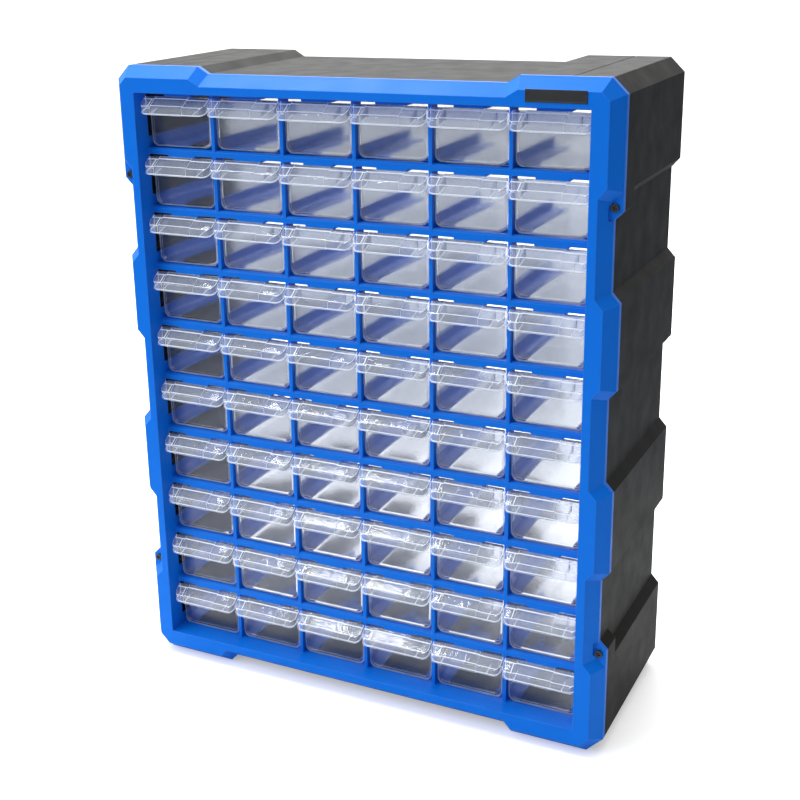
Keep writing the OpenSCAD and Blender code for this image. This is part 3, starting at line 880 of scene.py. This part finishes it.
class PARTSBIN_OT_add_frame_screws(bpy.types.Operator):
    """Model one pan-head screw with a cross recess and set a copy in each ear"""

    bl_idname = "parts_bin.add_frame_screws"
    bl_label = "Frame Screws"

    def execute(self, context):
        sizes = context.scene.pb_screw
        low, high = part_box("frame_screws")
        inset = sizes.head_radius
        pattern = self.model_screw(context, sizes, high.y - low.y)
        steel = screw_material(sizes.colour)
        for side, x in (("left", low.x + inset), ("right", high.x - inset)):
            for level, z in (("low", low.z + inset), ("high", high.z - inset)):
                screw = copy_of(context, pattern, f"frame_screw_{level}_{side}", (x, low.y, z))
                settle(screw, CABINET, "black_screw", steel)
                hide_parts("frame_screws")
        bpy.data.objects.remove(pattern)
        return {"FINISHED"}

    @staticmethod
    def model_screw(context, sizes, length):
        """One screw along +Y, its head's front at y = 0."""
        shaft_length = length - sizes.head_height - sizes.point_length
        nothing_selected()
        bpy.ops.mesh.primitive_cylinder_add(
            vertices=SCREW_SIDES, radius=sizes.head_radius, depth=sizes.head_height,
            location=(0, sizes.head_height / 2, 0), rotation=(math.radians(90), 0, 0))
        screw = context.object
        bpy.ops.object.transform_apply(location=True, rotation=True, scale=True)
        bpy.ops.object.mode_set(mode="EDIT")
        pick_faces(screw, lambda centre, normal: normal.y > SQUARE)
        bpy.ops.mesh.inset(thickness=sizes.head_radius - sizes.shaft_radius, depth=0)
        for step in (shaft_length, sizes.point_length):
            bpy.ops.mesh.extrude_region_move(TRANSFORM_OT_translate={"value": (0, step, 0)})
        bpy.ops.transform.resize(value=(POINT_TAPER, 1, POINT_TAPER))
        bpy.ops.object.mode_set(mode="OBJECT")
        round_corners(screw, SCREW_ROUNDING, 3, SCREW_ANGLE)
        for turn in (0, 90):
            nothing_selected()
            bpy.ops.mesh.primitive_cube_add(
                size=1, location=(0, 0, 0), rotation=(0, math.radians(turn + RECESS_TURN), 0),
                scale=(sizes.recess_width, sizes.recess_depth * 2, sizes.slot_width))
            slot = context.object
            pick_object(screw)
            cut = screw.modifiers.new("slot", "BOOLEAN")
            cut.operation = "DIFFERENCE"
            cut.object = slot
            bpy.ops.object.modifier_apply(modifier=cut.name)
            bpy.data.objects.remove(slot)
        return screw


class PARTSBIN_OT_set_stage(bpy.types.Operator):
    """Lay the pale floor, hang the softboxes and set up the camera"""

    bl_idname = "parts_bin.set_stage"
    bl_label = "Stage"

    def execute(self, context):
        stage = context.scene.pb_stage
        self.lay_floor(context, stage)
        self.light_surround(context.scene, stage)
        for name, place, size, power in SOFTBOXES:
            self.hang_light(context, name, place, size, getattr(stage, power))
        self.set_camera(context, stage)
        context.scene.view_settings.view_transform = "Standard"
        return {"FINISHED"}

    @staticmethod
    def lay_floor(context, stage):
        """Pale floor, darker away from the cabinet where it shows in or through the plastic."""
        nothing_selected()
        bpy.ops.mesh.primitive_plane_add(size=stage.floor_size, location=(0, 0, -FLOOR_GAP))
        floor = context.object
        floor.name = "studio_floor"
        material, tree, shader = new_material("pale_floor")
        place = object_place(tree)
        mottle = noise(tree, place, 1.5)
        near_tone = mixed(tree, mottle, (*stage.floor_colour, 1), (0.88, 0.88, 0.88, 1))
        away = add(tree, "ShaderNodeVectorMath", {0: place}, operation="LENGTH").outputs["Value"]
        far = mapped(tree, away, FAR_FLOOR)
        seen = add(tree, "ShaderNodeLightPath").outputs["Is Camera Ray"]
        unseen = computed(tree, "SUBTRACT", 1.0, seen)
        tone = mixed(tree, computed(tree, "MULTIPLY", far, unseen), near_tone,
                     (*stage.far_floor, 1))
        feed(tree, shader, {
            "Base Color": tone, "Roughness": 0.8, "Emission Color": (1, 1, 1, 1),
            "Emission Strength": computed(tree, "MULTIPLY", seen, stage.floor_glow)})
        floor.data.materials.append(material)

    @staticmethod
    def light_surround(scene, stage):
        """White behind the cabinet, dimmer in front and at the right, brightest overhead."""
        world = bpy.data.worlds.new("studio")
        scene.world = world
        world.use_nodes = True
        tree = world.node_tree
        tree.nodes.clear()
        toward = add(tree, "ShaderNodeTexCoord").outputs["Generated"]
        axes = add(tree, "ShaderNodeSeparateXYZ", {0: toward}).outputs
        depth = mapped(tree, axes["Y"], (-0.2, 0.5), (stage.front_sky, stage.back_sky))
        shade = mapped(tree, axes["X"], (0.05, 0.7), (1.0, stage.right_shade))
        height = mapped(tree, axes["Z"], (0.3, 0.8), (1.0, stage.ceiling))
        strength = computed(tree, "MULTIPLY", computed(tree, "MULTIPLY", depth, shade), height)
        background = add(tree, "ShaderNodeBackground",
                         {"Color": (1, 1, 1, 1), "Strength": strength})
        end = tree.nodes.new("ShaderNodeOutputWorld")
        tree.links.new(background.outputs[0], end.inputs["Surface"])

    @staticmethod
    def hang_light(context, name, place, size, power):
        """A rectangular softbox that faces the cabinet's middle."""
        nothing_selected()
        bpy.ops.object.light_add(type="AREA", location=place)
        lamp = context.object
        lamp.name = name
        lamp.data.shape = "RECTANGLE"
        lamp.data.size, lamp.data.size_y = size
        lamp.data.energy = power
        aim = CABINET_MIDDLE - Vector(place)
        lamp.rotation_euler = aim.to_track_quat("-Z", "Y").to_euler()

    @staticmethod
    def set_camera(context, stage):
        """Camera at its place, turned about the vertical, tilted down and rolled."""
        nothing_selected()
        turned = (Matrix.Rotation(stage.camera_turn, 4, "Z")
                  @ Matrix.Rotation(math.radians(90) - stage.camera_tilt, 4, "X")
                  @ Matrix.Rotation(stage.camera_roll, 4, "Z"))
        bpy.ops.object.camera_add(location=stage.camera_place, rotation=turned.to_euler())
        camera = context.object
        camera.name = "studio_camera"
        camera.data.sensor_width = SENSOR_WIDTH
        camera.data.lens = stage.lens
        camera.data.shift_x, camera.data.shift_y = CAMERA_SHIFT
        camera.data.clip_start, camera.data.clip_end = CAMERA_CLIP
        context.scene.camera = camera


class PARTSBIN_PT_looks(bpy.types.Panel):
    """Lists the cabinet's finishes, fittings and stage"""

    bl_idname = "PARTSBIN_PT_looks"
    bl_label = "Parts Bin Cabinet"
    bl_space_type = "VIEW_3D"
    bl_region_type = "UI"
    bl_category = "Parts Bin"

    def draw(self, context):
        layout = self.layout
        for operator in OPERATORS:
            layout.operator(operator.bl_idname)
        for name, group in SETTINGS.items():
            box = layout.box()
            box.label(text=group.__doc__)
            for key in group.__annotations__:
                box.prop(getattr(context.scene, name), key)


OPERATORS = (
    PARTSBIN_OT_finish_frame,
    PARTSBIN_OT_finish_casing,
    PARTSBIN_OT_mould_drawers,
    PARTSBIN_OT_add_name_plate,
    PARTSBIN_OT_add_frame_screws,
    PARTSBIN_OT_set_stage,
)
CLASSES = (*SETTINGS.values(), *OPERATORS, PARTSBIN_PT_looks)


def register():
    """Register the classes, and put each group of settings on the scene."""
    for cls in CLASSES:
        bpy.utils.register_class(cls)
    for name, group in SETTINGS.items():
        setattr(bpy.types.Scene, name, PointerProperty(type=group))


def unregister():
    """Undo what register does."""
    for name in SETTINGS:
        delattr(bpy.types.Scene, name)
    for cls in reversed(CLASSES):
        bpy.utils.unregister_class(cls)


def main():
    """Register the classes and run every operator in order."""
    register()
    bpy.ops.parts_bin.finish_frame()
    bpy.ops.parts_bin.finish_casing()
    bpy.ops.parts_bin.mould_drawers()
    bpy.ops.parts_bin.add_name_plate()
    bpy.ops.parts_bin.add_frame_screws()
    bpy.ops.parts_bin.set_stage()


if __name__ == "__main__":
    main()
